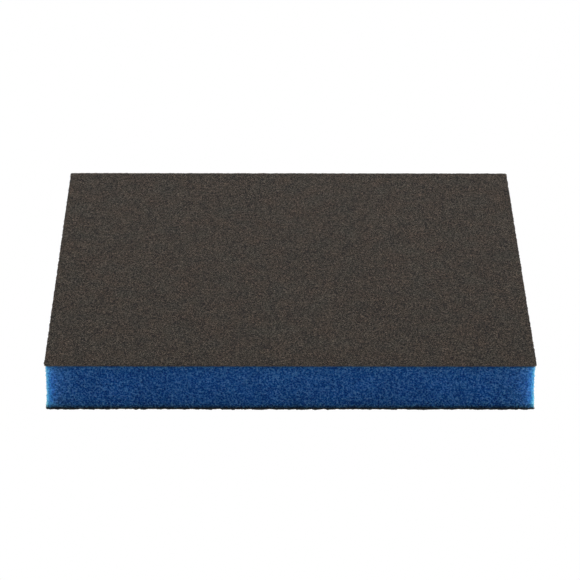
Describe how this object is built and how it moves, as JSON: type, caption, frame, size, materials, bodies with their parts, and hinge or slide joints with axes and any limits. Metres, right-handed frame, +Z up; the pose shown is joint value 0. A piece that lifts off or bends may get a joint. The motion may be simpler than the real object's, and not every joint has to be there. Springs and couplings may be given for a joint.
{
  "type": "sanding pad",
  "caption": "Flat rectangular flexible foam sanding pad with a fine abrasive coat on both broad faces and bare blue foam on its cut sides.",
  "frame": {"origin": "centre of the lower abrasive face, which the pad lies on", "axes": "+X along the pad's 120 mm length, +Y across its 98 mm width, +Z up through its 13 mm thickness"},
  "size_m": [0.12, 0.098, 0.013],
  "materials": {
    "foam": "open-cell polyurethane foam, dyed blue, cut sides with fine pores",
    "barrier_coat": "thin dark latex film, matt",
    "make_coat": "brown resin bond, satin",
    "abrasive_grain": "fine brown aluminium oxide grain, matt with small glints",
    "size_coat": "thin dark grey-brown resin over the grain, dull satin, finely grained"
  },
  "bodies": {
    "lower_side": {"lower_size_coat": "size_coat", "lower_abrasive_grain": "abrasive_grain", "lower_make_coat": "make_coat", "lower_barrier_coat": "barrier_coat", "foam_core": "foam"},
    "upper_side": {"upper_barrier_coat": "barrier_coat", "upper_make_coat": "make_coat", "upper_abrasive_grain": "abrasive_grain", "upper_size_coat": "size_coat"}
  },
  "joints": [
    {"name": "pad_squeeze", "type": "slide", "parent": "lower_side", "child": "upper_side", "axis": [0, 0, -1], "range_m": [0, 0.0049], "stiffness_N_per_m": 24000, "deforming": ["foam_core"]}
  ]
}
